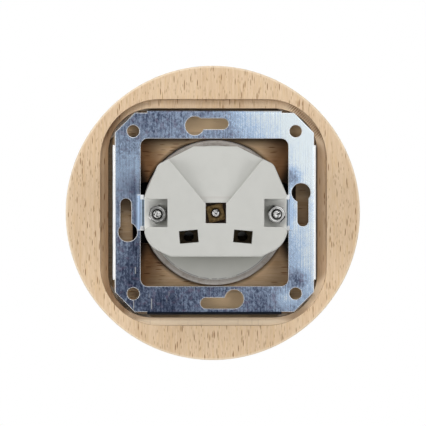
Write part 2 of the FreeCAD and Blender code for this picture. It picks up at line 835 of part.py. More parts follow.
def earth_washer():
    """The square plate that presses the earth wire on the strap."""
    plate = centred_block(
        earth_washer_width, earth_washer_front_y, strap_front_y, earth_washer_width, 0.0, earth_screw_z
    )
    hole_diameter = earth_screw_diameter + earth_hole_clearance
    y_range = (earth_washer_front_y - past, strap_front_y + past)
    return plate.cut(cylinder(hole_diameter, *y_range, 0.0, earth_screw_z))


def earth_terminal_screw():
    head_front_y = earth_washer_front_y - earth_head_height
    head = cylinder(earth_head_diameter, head_front_y, earth_washer_front_y, 0.0, earth_screw_z)
    shank_end = earth_washer_front_y + earth_screw_length
    shank = cylinder(
        earth_screw_diameter, earth_washer_front_y - screw_slot_depth / 2, shank_end, 0.0, earth_screw_z
    )
    slot = centred_block(
        screw_slot_width,
        head_front_y - past,
        head_front_y + screw_slot_depth,
        earth_head_diameter + past,
        0.0,
        earth_screw_z,
    )
    return head.fuse(shank).cut(slot)


def all_nodes():
    """Left and right are as seen from the room."""
    right_place, left_place = fixing_places()
    return {
        "surround_front_disc": surround_front_disc(),
        "surround_back_ring": surround_back_ring(),
        "mounting_plate": mounting_plate(),
        "rear_base": rear_base(),
        "front_cover": front_cover(),
        "right_fixing_screw": fixing_screw(*right_place),
        "left_fixing_screw": fixing_screw(*left_place),
        "right_fixing_nut": fixing_nut(*right_place, right_nut_turn),
        "left_fixing_nut": fixing_nut(*left_place, left_nut_turn),
        "cover_screw": cover_screw(),
        "cover_nut": cover_nut(),
        "line_contact": pin_contact(),
        "neutral_contact": mirrored(pin_contact()),
        "line_contact_spring": contact_spring(),
        "neutral_contact_spring": mirrored(contact_spring()),
        "line_terminal_screw": terminal_screw(),
        "neutral_terminal_screw": mirrored(terminal_screw()),
        "earth_strap": earth_strap(),
        "earth_washer": earth_washer(),
        "earth_terminal_screw": earth_terminal_screw(),
    }


os.makedirs("parts", exist_ok=True)
for name, shape in all_nodes().items():
    shape.exportStep(f"parts/{name}.step")
    print(f"{name}: {len(shape.Solids)} solid, {shape.Volume:.0f} mm3, valid {shape.isValid()}")
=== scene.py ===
import math

import bpy
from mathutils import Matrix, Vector

# Looks, light and camera for the round wall socket. Blender works in metres, so sizes that are easier to
# read in millimetres are written as a number times MM. Materials work in millimetres of the row frame. Left
# and right are those of the picture, which shows the back: its left is +X.
MM = 0.001

# Camera: far off and almost square on to the back, as in the photograph
camera_place = Vector((12.5, 700.0, 5.0)) * MM
camera_target = Vector((0.5, 0.0, -0.2)) * MM
camera_lens = 173.2
camera_sensor = 36.0
camera_clip = 0.01

# Light: a soft box above and one on each side of the back, two in front, and a little light from everywhere.
# Each has its place, its diameter in metres and its power in watts.
ambient_strength = 0.17
soft_boxes = {
    "key_light": (Vector((50.0, 850.0, 900.0)) * MM, 0.7, 8.3),
    "left_light": (Vector((1000.0, 700.0, 100.0)) * MM, 0.6, 4.9),
    "right_light": (Vector((-950.0, 800.0, 100.0)) * MM, 0.6, 3.8),
    "front_key_light": (Vector((-350.0, -900.0, 800.0)) * MM, 0.8, 8.0),
    "front_fill_light": (Vector((700.0, -900.0, -50.0)) * MM, 0.8, 3.5),
}

# Cards that only polished surfaces see, in metres, and how bright each is
card_distance = 1.0
card_front_edge = -0.5
card_grey_behind = 0.45
card_grey_above = 0.80
card_grey_below = 0.03
card_grey_pale = 1.12
card_pale_corners = ((-0.85, 0.98, -0.12), (-0.06, 0.98, -0.05), (0.02, 0.98, 0.85), (-0.85, 0.98, 0.85))

# The studio's floor, in metres. The lift brightens it where the camera sees it.
white = (1.0, 1.0, 1.0, 1.0)
studio_floor_colour = (0.850, 0.850, 0.850, 1.0)
studio_floor_height = -0.26
studio_floor_half = 1.2
studio_floor_lift = 0.60
studio_floor_roughness = 0.8

# Colours, all linear
beech_pale = (0.760, 0.590, 0.415)
beech_middle = (0.680, 0.512, 0.345)
beech_deep = (0.585, 0.405, 0.245)
beech_fleck = (0.270, 0.135, 0.055)
beech_golden = (0.690, 0.490, 0.270)
beech_painted_light = (0.900, 0.760, 0.580)
beech_shade = (0.450, 0.330, 0.240)
beech_painted_shade = (0.360, 0.265, 0.195)
beech_floor = (1.000, 0.950, 0.880)
# Painted light and shade on the pocket's floor, and black for its painted shadows and the cutter's marks
beech_corner = (0.920, 0.780, 0.640)
beech_lit = (1.000, 0.720, 0.430)
beech_dim = (0.300, 0.270, 0.245)
beech_black = (0.006, 0.004, 0.003)
zinc_tones = (
    (0.00, (0.040, 0.055, 0.100)),
    (0.25, (0.130, 0.165, 0.260)),
    (0.50, (0.350, 0.435, 0.590)),
    (0.75, (0.530, 0.690, 0.920)),
    (1.00, (0.860, 0.950, 1.000)),
)
zinc_darkest = zinc_tones[0][1]
zinc_purple = (0.230, 0.170, 0.260)
zinc_highlight_and_scratch = (0.930, 0.935, 0.930)
zinc_bend_highlight = (0.420, 0.560, 0.760)
zinc_gap_shadow = (0.100, 0.130, 0.160)
zinc_fold_shade = (0.060, 0.058, 0.055)
steatite_body = (0.522, 0.522, 0.494)
steatite_speck = (0.430, 0.430, 0.405)
steatite_edge = (0.660, 0.660, 0.630)
steatite_shade = (0.750, 0.750, 0.740)
# Painted shade on the disc below the block, and painted light on the floors of the side nut pockets
steatite_low = (0.760, 0.760, 0.740)
steatite_lit = (0.840, 0.840, 0.810)
steatite_brown = (0.550, 0.400, 0.330)
glue_grey = (0.220, 0.215, 0.215)
porcelain_white = (0.800, 0.790, 0.775)
porcelain_back_shade = (0.620, 0.590, 0.560)
porcelain_smear = (0.640, 0.590, 0.540)
porcelain_edge_shade = (0.420, 0.390, 0.370)
porcelain_shade = (0.400, 0.370, 0.350)
nickel_clean = (0.800, 0.800, 0.790)
nickel_bright = (0.980, 0.980, 0.970)
nickel_dull = (0.360, 0.360, 0.350)
nickel_shade = (0.045, 0.045, 0.042)
brass_clean = (0.460, 0.350, 0.180)
brass_dull = (0.210, 0.155, 0.080)
brass_pale_and_highlight = (0.700, 0.530, 0.260)
brass_shade = (0.300, 0.230, 0.140)
brass_tarnish_and_shade = (0.036, 0.026, 0.016)

# From here on, sizes and places are in millimetres. A pair says where something begins and where it is full.
# Two more numbers after a pair say how strong it is at each of the two places. A band has four places: where
# it begins, is full, falls and ends.

# All materials: where a rounded corner counts as an edge, what counts as a hollow, and the noise's middle
edge_match = (0.999, 0.95)
hollow_clear = 1.0
hollow_closed = 0.25
edge_samples = 6
hollow_samples = 8
noise_middle = 0.5

# Beech: grain sizes are across, into and along the grain
surround_middle = (0.5, -0.2)
band_grain = (6.0, 14.0, 120.0)
band_contrast = (0.30, 0.70)
streak_grain = (0.75, 3.0, 26.0)
streak_contrast = (0.30, 0.72, 0.0, 0.85)
fibre_grain = (0.30, 0.40, 4.0)
fibre_contrast = (0.32, 0.68)
fibre_share = 0.42
golden_grain = (1.1, 3.0, 7.0)
golden_contrast = (0.48, 0.72, 0.0, 0.38)
fleck_grain = (0.58, 5.0, 4.8)
fleck_strength = (0.30, 0.85, 0.0, 0.95)
short_fleck_grain = (0.50, 3.0, 2.4)
short_fleck_strength = (0.45, 0.85, 0.0, 0.50)
fleck_outline = (0.34, 0.17)
# Where the outer rim near the back face gets a painted highlight
rim_radius = (49.4, 50.0, 0.0, 0.7)
rim_depth = (-1.6, -0.9)
beech_rounding = 0.20
beech_relief = 0.03
fibre_relief = 0.4

# The cutter's teeth, across the diagonal of the plate's upper right corner
cutter_mark_spacing = 0.77
cutter_mark_outline = (-0.6, 0.2)
cutter_mark_x = (-24.0, -28.0)
cutter_mark_z = (24.0, 27.0)
half_diagonal = math.sqrt(0.5)

# The ledge of the back ring, and where its painted light and shade lie. A diagonal is the sum of the
# distances from the middle along X and Z.
ledge_depth = (-1.0, -1.6)
ledge_radius = (49.6, 48.6)
ledge_left_inner = (28.0, 34.5, 0.0, 0.80)
ledge_left_outer = (39.4, 36.0)
ledge_left_corner = (31.5, -33.0, 9.0)
ledge_left_corner_share = 0.80
ledge_right_inner = (-28.0, -34.5, 0.0, 0.72)
ledge_right_outer = (-39.6, -36.0)
ledge_right_diagonal = (57.0, 62.0, 1.0, 0.10)
ledge_low_z = (-30.0, -35.0)
ledge_low_x = (33.5, 28.5)
ledge_corner_x = (-22.0, -28.0)
ledge_corner_diagonal = (58.0, 61.0)
ledge_pale_share = 0.80
ledge_golden_share = 0.15
ledge_gap_z = (-37.7, -36.0, 0.0, 0.6)
ledge_hollow = 1.6
ledge_hollow_z = (-30.0, 0.0, 0.0, 0.5)
ledge_mark_diagonal = (65.2, 63.6, 0.0, 0.90)

# The pocket's floor on the front disc, and where its painted light, shade and shadow lie
pocket_depth = (-6.4, -5.3)
pocket_radius = (48.0, 46.5)
opening_side = (28.3, 27.9)
opening_height = (26.6, 25.8)
painted_shade_lean = -0.5
painted_shade_side = (3.0, 14.0)
painted_shade_lower_right = (0.0, -8.0)
painted_shade_lower_right_share = (0.0, 1.0, 1.0, 0.45)
painted_shade_upper_right_x = (-12.0, -20.0)
painted_shade_upper_right_z = (0.0, 8.0)
painted_shade_upper_right_share = 0.35
slot_left_x = (28.0, 28.4, 33.5, 34.0)
slot_left_z = (0.5, 5.0, 0.50, 0.95)
slot_right_x = (-27.9, -28.3, -33.5, -34.0)
slot_right_z = (2.5, 5.5, 1.0, 0.65)
slot_height = (11.5, 10.8)
hole_top_z = (27.6, 29.8, 0.0, 0.8)
hole_side = (25.0, 25.4)
keyhole_height = (27.2, 28.0)
keyhole_side = (13.0, 11.0)
keyhole_share = 0.85
beside_tongue_side = (14.5, 19.0, 0.0, 0.95)
below_bar_z = (21.8, 25.6, 0.0, 0.85)
by_cup_radius = (26.5, 24.9, 0.0, 0.85)
notch_depth = (-5.1, -5.3)
notch_height = (10.8, 10.4)
notch_side = (18.0, 21.0, 28.6, 29.2)
end_gap_side = (24.5, 21.5)
end_gap_z = (-36.0, -35.1, 0.35, 0.68)
past_plate = (34.6, 35.0)
side_gap_height = (31.5, 30.0)
side_gap_share = 0.68
corner_diagonal = (57.0, 58.5)
outer_corner_diagonal = (60.5, 61.0)
dark_corner_x = (20.0, 24.0)
dark_corner_z = (-20.0, -24.0)
dark_corner_share = 0.55
pocket_mark_share = 0.90

# Zinc: patches where the sheet is painted lighter or darker, partly painted reflection and shade and partly
# the plating's own uneven tone, as x, z, radius and by how much
zinc_patches = (
    (32.0, 16.0, 22.0, 0.15),
    (6.0, 27.0, 14.0, 0.12),
    (26.0, -26.0, 26.0, -0.20),
    (-28.5, -22.8, 5.5, -0.38),
    (-24.0, -29.8, 4.6, 0.34),
    (-32.0, -29.0, 4.0, -0.12),
    (28.0, 9.5, 7.0, -0.18),
    (-26.2, 12.0, 5.5, -0.42),
    (-30.0, 28.0, 20.0, 0.10),
    (-11.0, 33.0, 12.0, 0.20),
    (33.0, 14.0, 12.0, 0.12),
    (26.8, 8.0, 4.5, -0.12),
    (27.0, -12.0, 5.0, -0.14),
    (18.0, -34.5, 12.0, -0.14),
    (22.0, -26.5, 6.0, 0.12),
    (32.5, -15.0, 7.0, 0.10),
    (-27.2, 0.0, 4.0, -0.10),
    (2.0, -28.0, 13.0, -0.07),
    (28.0, 28.0, 9.0, -0.07),
)
zinc_ground = 0.165
zinc_rise = 0.0005
cloud_grain = (6.0, 6.0, 7.0)
cloud_gain = 0.45
mottle_grain = (0.85, 0.85, 1.15)
mottle_gain = 1.20
mottle_calm = (0.95, 0.45, 0.20, 1.0)
line_grain = (0.40, 0.40, 14.0)
line_gain = 0.75
line_calm = (0.95, 0.45, 0.50, 1.0)
# Where the painted reflection grows paler towards the right, and where a painted highlight runs along the
# left bar's inner edge
pale_side = (8.0, 34.0, 0.0, 0.56)
pale_side_lean = 0.25
bright_line_x = (25.6, 26.0, 26.5, 27.3)
bright_line_z = (-3.0, 3.0, 17.0, 21.0)
bright_line_gain = 0.14
brushed_x = (24.0, 26.0)
brushed_z = (-12.0, -4.0, 14.0, 21.0)
brushed_calm = (0.0, 1.0, 1.0, 0.45)
rolling_mark_spacing = 0.86
rolling_mark_x = (-2.0, -8.0)
rolling_mark_clouds = (0.35, 0.60, 0.3, 1.0)
rolling_mark_gain = 0.05
purple_grain = (2.4, 2.4, 2.0)
purple_contrast = (0.52, 0.70, 0.0, 0.45)
purple_tone = (0.75, 0.45)
# The tongue: its bend and shoulders get a painted highlight, and the gap beside its tip a painted shadow
tongue_half_width = 6.1
tongue_edge = 0.4
tongue_tip_half_width = 4.4
tongue_tip_edge = 0.1
bend_side = (27.3, 26.0)
bend_dullness = 0.45
tongue_gap_side = (23.8, 23.9, 24.40, 24.75)
tongue_gap_depth = (5.0, 8.0)
shoulder_depth = (8.8, 9.6)
shoulder_height = (4.5, 4.7)
shoulder_share = 0.9
# Scratches in the sheet: fine ones all over, and single ones as x, z and half the length
scratch_cells = (0.9, 4.0, 13.0)
scratch_outline = (0.10, 0.03, 0.0, 0.7)
zinc_scratches = ((27.6, -31.6, 1.6), (21.5, -31.2, 2.0), (27.0, -19.8, 1.4))
scratch_width = (0.22, 0.10)
scratch_end = 0.5
scratch_share = 0.6
# Painted highlights along the sheared edges and side folds, and painted shade on the upper and lower folds
# and on the folds' outer faces
edge_highlight_width = 0.42
left_fold_x = (33.5, 34.0)
right_fold_x = (-33.8, -34.2, 0.0, 0.85)
fold_dullness = 0.8
upper_fold_z = (34.55, 34.85)
lower_fold_z = (-33.85, -34.15)
fold_outside = (34.60, 34.85)
metal_dullness = (0.0, 1.0, 1.0, 0.0)
zinc_roughness = (0.1, 0.9, 0.36, 0.24)
zinc_relief = 0.03
line_relief = 0.5

# Steatite
steatite_cloud_grain = 6.0
steatite_cloud_contrast = (0.35, 0.70, 0.0, 0.22)
steatite_grit_grain = 0.22
steatite_grit_contrast = (0.62, 0.80, 0.0, 0.25)
steatite_rounding = 0.35
steatite_edge_share = 0.35
steatite_hollow = 2.0
steatite_relief = 0.012
disc_face_z = (-11.0, -15.0)
disc_face_shade = (-22.0, -14.0, 0.55, 1.10)
disc_face_depth = (25.0, 22.0)
nut_floor_depth = (19.5, 19.8, 20.2, 21.0)
nut_floor_height = (8.0, 7.5)
nut_floor_inner = (14.0, 15.0)
nut_floor_light = (16.8, 22.5, 0.12, 0.85)
cover_nut_pocket = (5.6, 5.2)
cover_nut_depth = (26.0, 24.0)
smear_grain = 1.6
glue_radius = (22.00, 22.15, 22.25, 22.45)
glue_breaks = (0.32, 0.52)

# Porcelain
porcelain_wave_grain = 4.0
porcelain_relief = 0.05
porcelain_rounding = 0.30
porcelain_speck_grain = 0.5
porcelain_speck_contrast = (0.72, 0.80, 0.0, 0.30)
porcelain_smear_grain = 2.2
porcelain_smear_contrast = (0.45, 0.68, 0.0, 0.55)
cup_back_depth = (2.0, 5.0)
cup_depth = (0.0, 3.0)
cup_edge_radius = (23.6, 24.4)
cup_edge_z = (-23.5, -18.0, 0.30, 1.0)
cup_hollow = 9.0
flange_depth = (-12.3, -12.2, -11.0, -9.0)
flange_radius = (24.4, 24.8)
flange_side = (29.0, 28.6)
flange_height = (11.4, 11.0)
glaze_roughness = (0.0, 1.0, 0.12, 1.0)

# Screws and nuts: the axes of those that stand along Y, and where the nuts' side begins. What is on the
# front is strong where that side's share is 0.
turned_axes = ((0.0, 0.0), (19.25, -0.45), (-20.25, -0.45))
nut_side_depth = (14.0, 16.0)
nickel_scuff_grain = 0.7
nickel_contrast = (0.30, 0.70)
nickel_lean = -0.006
facing_ring_spacing = 0.55
facing_ring_gain = 0.12
thread_radius = (1.20, 1.38, 1.72, 1.95)
nut_corner_radius = (2.50, 2.70)
nut_corner_scuffs = (0.42, 0.58, 0.25, 0.80)
screw_end_radius = (1.30, 1.15)
chip_grain = 0.85
chip_outline = (0.50, 0.42)
chip_share = 0.95
nut_glint = (22.0, -2.1, 1.5)
nut_shadows = ((-18.2, 1.9, 2.4), (-22.4, -2.2, 1.8))
nut_shadow_radius = (2.35, 2.55)
nut_shadow_outline = (0.15, 0.45)
head_clean = (1.0, 0.0, 0.0, 0.7)
driver_slot_hollow = 2.0
driver_slot_closed = 0.45
driver_slot_clear = 0.85
driver_slot_dark = (1.0, 0.0, 0.0, 0.92)
nickel_rounding = 0.12
nickel_relief = 0.02
scuff_relief = 0.5
nickel_roughness = (0.30, 0.75, 0.16, 0.30)

# Brass, and the old metal behind the wire windows, tarnished and painted nearly black as shade
brass_scuff_grain = 0.9
brass_contrast = (0.35, 0.70)
brass_thread_radius = (2.1, 1.5)
brass_hollow = 4.0
brass_front = (1.0, 0.0, 0.0, 0.6)
brass_rounding = 0.22
brass_edge_share = 0.9
brass_relief = 0.02
tarnish_grain = 1.2
tarnish_contrast = (0.35, 0.70, 0.0, 0.12)
tarnish_relief = 0.05

# A colour Mix node's sockets: the share, the first and the second colour, and the result
mix_inputs = (0, 6, 7)
mix_output = 2


class Recipe:
    """The nodes of one material. Positions are in millimetres of the row frame."""

    def __init__(self, name):
        self.material = bpy.data.materials.new(name)
        self.material.use_nodes = True
        self.tree = self.material.node_tree
        self.shader = self.tree.nodes["Principled BSDF"]
        metres = self.make("ShaderNodeTexCoord").outputs["Object"]
        self.place = self.stretched(metres, (1 / MM, 1 / MM, 1 / MM))

    def make(self, kind, **settings):
        node = self.tree.nodes.new(kind)
        for setting, value in settings.items():
            setattr(node, setting, value)
        return node

    def feed(self, socket, value):
        """Link a node's output to the socket, or set the socket to a number or colour."""
        if isinstance(value, bpy.types.NodeSocket):
            self.tree.links.new(value, socket)
        elif isinstance(value, tuple) and socket.type == "RGBA":
            socket.default_value = (*value, 1.0)
        else:
            socket.default_value = value

    def maths(self, operation, *values):
        node = self.make("ShaderNodeMath", operation=operation)
        for socket, value in zip(node.inputs, values):
            self.feed(socket, value)
        return node.outputs[0]

    def stretched(self, vector, factors):
        node = self.make("ShaderNodeVectorMath", operation="MULTIPLY")
        self.feed(node.inputs[0], vector)
        node.inputs[1].default_value = factors
        return node.outputs[0]

    def grained(self, grain):
        """The place in a space where something of these sizes along X, Y and Z measures 1."""
        return self.stretched(self.place, tuple(1 / size for size in grain))

    def parts(self, kind, whole):
        """The outputs of a node that takes a place or a colour apart."""
        node = self.make(kind)
        self.feed(node.inputs[0], whole)
        return node.outputs

    def axes(self):
        return self.parts("ShaderNodeSeparateXYZ", self.place)

    def noise(self, grain, detail=2.0, roughness=0.5, distortion=0.0):
        """Soft noise from 0 to 1 whose grain has this size, or these sizes along X, Y and Z."""
        sizes = grain if isinstance(grain, tuple) else (grain, grain, grain)
        node = self.make("ShaderNodeTexNoise")
        self.feed(node.inputs["Vector"], self.grained(sizes))
        node.inputs["Scale"].default_value = 1.0
        node.inputs["Detail"].default_value = detail
        node.inputs["Roughness"].default_value = roughness
        node.inputs["Distortion"].default_value = distortion
        return node.outputs["Fac"]

    def cells(self, grain):
        """Cells of these sizes: the distance from the cell's point, and its random colour."""
        node = self.make("ShaderNodeTexVoronoi")
        self.feed(node.inputs["Vector"], self.grained(grain))
        node.inputs["Scale"].default_value = 1.0
        return node.outputs["Distance"], node.outputs["Color"]

    def between(self, value, begin, full, low=0.0, high=1.0):
        """0 before begin, 1 past full and smooth between them, in either direction, or low and high."""
        node = self.make("ShaderNodeMapRange", interpolation_type="SMOOTHSTEP")
        for socket, number in zip(node.inputs, (value, begin, full, low, high)):
            self.feed(socket, number)
        return node.outputs[0]

    def band(self, value, begin, full, fall, end):
        """1 from full to fall, and 0 before begin and after end."""
        return self.product(self.between(value, begin, full), self.between(value, end, fall))

    def waves(self, value, spacing):
        """From -1 to 1 and back at this spacing."""
        return self.maths("SINE", self.product(value, 2 * math.pi / spacing))

    def absolute(self, value):
        return self.maths("ABSOLUTE", value)

    def rest_of(self, share):
        """1 less the share."""
        return self.maths("SUBTRACT", 1.0, share)

    def product(self, *values):
        return self.chained("MULTIPLY", values)

    def largest(self, *values):
        return self.chained("MAXIMUM", values)

    def total(self, *terms):
        """The sum of (value, factor) pairs."""
        return self.chained("ADD", [self.maths("MULTIPLY", value, factor) for value, factor in terms])

    def chained(self, operation, values):
        result = values[0]
        for value in values[1:]:
            result = self.maths(operation, result, value)
        return result

    def mixed(self, share, first, second, blend="MIX"):
        """The first colour, and the second for this share."""
        node = self.make("ShaderNodeMix", data_type="RGBA", blend_type=blend)
        for index, value in zip(mix_inputs, (share, first, second)):
            self.feed(node.inputs[index], value)
        return node.outputs[mix_output]

    def tinted(self, share, colour, tint):
        """The colour, times the tint for this share."""
        return self.mixed(share, colour, tint, "MULTIPLY")

    def ramp(self, value, stops):
        """The colour at this value along the stops."""
        node = self.make("ShaderNodeValToRGB")
        self.feed(node.inputs[0], value)
        elements = node.color_ramp.elements
        while len(elements) < len(stops):
            elements.new(0.5)
        for element, (position, colour) in zip(elements, stops):
            element.position = position
            element.color = (*colour, 1.0)
        return node.outputs[0]

    def worn_edge(self, radius):
        """1 along the piece's edges and 0 on its faces, and the normal that rounds the edges off."""
        rounded = self.make("ShaderNodeBevel", samples=edge_samples)
        rounded.inputs["Radius"].default_value = radius * MM
        geometry = self.make("ShaderNodeNewGeometry")
        match = self.make("ShaderNodeVectorMath", operation="DOT_PRODUCT")
        self.feed(match.inputs[0], rounded.outputs[0])
        self.feed(match.inputs[1], geometry.outputs["Normal"])
        return self.between(match.outputs["Value"], *edge_match), rounded.outputs[0]

    def hollows(self, distance, closed=hollow_closed, clear=hollow_clear):
        """1 in hollows and corners that are narrower than this distance, where the materials paint shade."""
        open_sky = self.make("ShaderNodeAmbientOcclusion", samples=hollow_samples)
        open_sky.inputs["Distance"].default_value = distance * MM
        return self.between(open_sky.outputs["AO"], clear, closed)

    def distance_from(self, x, z):
        """How far the point is from this axis along Y."""
        across, _, up = self.axes()
        flat = self.make("ShaderNodeCombineXYZ")
        self.feed(flat.inputs["X"], self.maths("SUBTRACT", across, x))
        self.feed(flat.inputs["Z"], self.maths("SUBTRACT", up, z))
        length = self.make("ShaderNodeVectorMath", operation="LENGTH")
        self.feed(length.inputs[0], flat.outputs[0])
        return length.outputs["Value"]

    def patch(self, x, z, radius):
        """1 in the middle of a soft round patch and 0 outside its radius."""
        return self.between(self.distance_from(x, z), radius, 0.0)

    def relief(self, height, depth, normal=None):
        """A bump whose height of 1 stands this deep."""
        node = self.make("ShaderNodeBump")
        node.inputs["Distance"].default_value = depth * MM
        self.feed(node.inputs["Height"], height)
        if normal is not None:
            self.feed(node.inputs["Normal"], normal)
        return node.outputs[0]

    def finish(self, **sockets):
        """Feed the shader's sockets, named with _ for each space."""
        for socket, value in sockets.items():
            self.feed(self.shader.inputs[socket.replace("_", " ")], value)
        return self.material


def along_grain(along, grain):
    """Sizes along X, Y and Z of something whose sizes across, into and along the grain are given."""
    across, into, length = grain
    return (across, into, length) if along == "Z" else (length, into, across)


def flecks(wood, grain, colour_part, strength):
    """Short dark dashes in cells of these sizes, some faint and some strong."""
    distance, chance = wood.cells(grain)
    chance = wood.parts("ShaderNodeSeparateColor", chance)[colour_part]
    return wood.product(wood.between(distance, *fleck_outline), wood.between(chance, *strength))


def beech(name, along, shade_and_marks):
    """Bare beech: soft bands, fine fibres and the short dark flecks of its rays, all along one axis, with a
    painted highlight along its outer rim. The function it is given adds painted light and shade, and the
    cutter's marks."""
    wood = Recipe(name)
    bands = wood.noise(along_grain(along, band_grain), detail=1.0, distortion=0.4)
    streaks = wood.noise(along_grain(along, streak_grain), detail=2.0, roughness=0.6)
    fibres = wood.noise(along_grain(along, fibre_grain), detail=3.0, roughness=0.7)
    golden = wood.noise(along_grain(along, golden_grain), detail=2.0)
    tone = wood.mixed(wood.between(bands, *band_contrast), beech_deep, beech_middle)
    tone = wood.mixed(wood.between(streaks, *streak_contrast), tone, beech_pale)
    fibre_colour = wood.mixed(wood.between(fibres, *fibre_contrast), beech_deep, beech_pale)
    tone = wood.mixed(fibre_share, tone, fibre_colour)
    tone = wood.mixed(wood.between(golden, *golden_contrast), tone, beech_golden)
    fleck = flecks(wood, along_grain(along, fleck_grain), 0, fleck_strength)
    short_fleck = flecks(wood, along_grain(along, short_fleck_grain), 1, short_fleck_strength)
    tone = wood.mixed(wood.largest(fleck, short_fleck), tone, beech_fleck)
    tone = shade_and_marks(wood, tone)
    _, y, _ = wood.axes()
    from_middle = wood.distance_from(*surround_middle)
    # A painted highlight along the outer rim near the back face
    rim = wood.product(wood.between(from_middle, *rim_radius), wood.between(y, *rim_depth))
    tone = wood.mixed(rim, tone, beech_painted_light)
    _, rounded = wood.worn_edge(beech_rounding)
    pits = wood.maths("SUBTRACT", wood.product(fibres, fibre_relief), fleck)
    normal = wood.relief(pits, beech_relief, rounded)
    return wood.finish(Base_Color=tone, Roughness=0.62, Specular_IOR_Level=0.08, Normal=normal)


def cutter_marks(wood):
    """Fine dark teeth beside the plate's upper right corner."""
    x, _, z = wood.axes()
    along = wood.total((x, half_diagonal), (z, half_diagonal))
    teeth = wood.between(wood.waves(along, cutter_mark_spacing), *cutter_mark_outline)
    return wood.product(teeth, wood.between(x, *cutter_mark_x), wood.between(z, *cutter_mark_z))


def ledge_shade_and_marks(wood, tone):
    """The ledge round the plate has painted shade along its left and right sides, in its lower left corner
    and beside the gap below the plate, painted shade below its upper step, and painted light along its lower
    side and in its right corners. The cutter left marks in its upper right corner."""
    x, y, z = wood.axes()
    diagonal = wood.maths("ADD", wood.absolute(x), wood.absolute(z))
    from_middle = wood.distance_from(*surround_middle)
    ledge = wood.product(wood.between(y, *ledge_depth), wood.between(from_middle, *ledge_radius))

    # Painted light along the ledge's lower side and in its right corners
    low = wood.product(wood.between(z, *ledge_low_z), wood.between(x, *ledge_low_x), ledge)
    corners = wood.product(
        wood.between(x, *ledge_corner_x), wood.between(diagonal, *ledge_corner_diagonal), ledge
    )
    tone = wood.mixed(wood.product(wood.largest(low, corners), ledge_pale_share), tone, beech_painted_light)
    tone = wood.tinted(wood.product(corners, ledge_golden_share), tone, beech_golden)

    # Painted shade along the ledge's left and right sides and in its lower left corner, and painted shadow
    # beside the gap below the plate
    off_middle = wood.maths("SUBTRACT", x, surround_middle[0])
    left = wood.product(
        wood.between(off_middle, *ledge_left_outer), wood.between(off_middle, *ledge_left_inner)
    )
    left_corner = wood.product(wood.patch(*ledge_left_corner), ledge, ledge_left_corner_share)
    right = wood.product(
        wood.between(off_middle, *ledge_right_outer), wood.between(off_middle, *ledge_right_inner),
        wood.between(diagonal, *ledge_right_diagonal),
    )
    sides = wood.product(ledge, wood.largest(left, left_corner, right))
    by_gap = wood.product(low, wood.between(z, *ledge_gap_z))
    tone = wood.tinted(wood.largest(by_gap, sides), tone, beech_painted_shade)
    # Painted shade in the ledge's hollows, on its upper part below the step
    shade = wood.product(wood.hollows(ledge_hollow), wood.between(z, *ledge_hollow_z))
    tone = wood.tinted(shade, tone, beech_shade)
    marks = wood.product(cutter_marks(wood), wood.between(diagonal, *ledge_mark_diagonal), ledge)
    return wood.mixed(marks, tone, beech_fleck)


